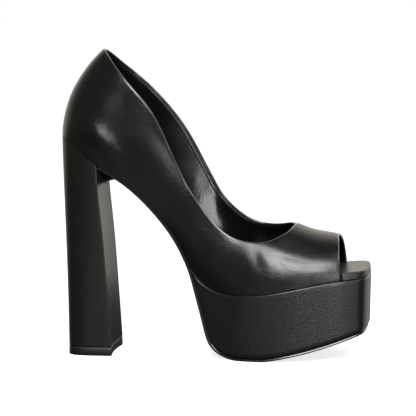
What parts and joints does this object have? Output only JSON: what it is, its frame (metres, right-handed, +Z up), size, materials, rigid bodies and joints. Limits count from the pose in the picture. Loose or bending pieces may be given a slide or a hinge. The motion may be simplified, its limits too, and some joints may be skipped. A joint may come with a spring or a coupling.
{
  "type": "peep toe pump",
  "caption": "Black leather peep toe pump, a right shoe with a tall covered block heel and a platform under the forefoot.",
  "frame": {"origin": "on the floor, under the middle of the shoe's length and width", "axes": "+Z up, +X toward the toe, -Y toward the outer side of the foot"},
  "size_m": [0.2118, 0.0836, 0.2092],
  "materials": {
    "upper_leather": "smooth black leather with a fine grain and a soft gloss",
    "insole_leather": "smooth black lining leather, satin",
    "platform_leather": "smooth black leather with a fine grain and a soft gloss",
    "outsole_leather": "black sole leather, satin",
    "heel_leather": "smooth black leather with a fine grain and a soft gloss",
    "lift_rubber": "hard black top-piece rubber, satin"
  },
  "bodies": {
    "root": {"upper": "upper_leather", "insole": "insole_leather", "platform": "platform_leather", "outsole": "outsole_leather", "heel": "heel_leather", "heel_lift": "lift_rubber"}
  },
  "joints": []
}
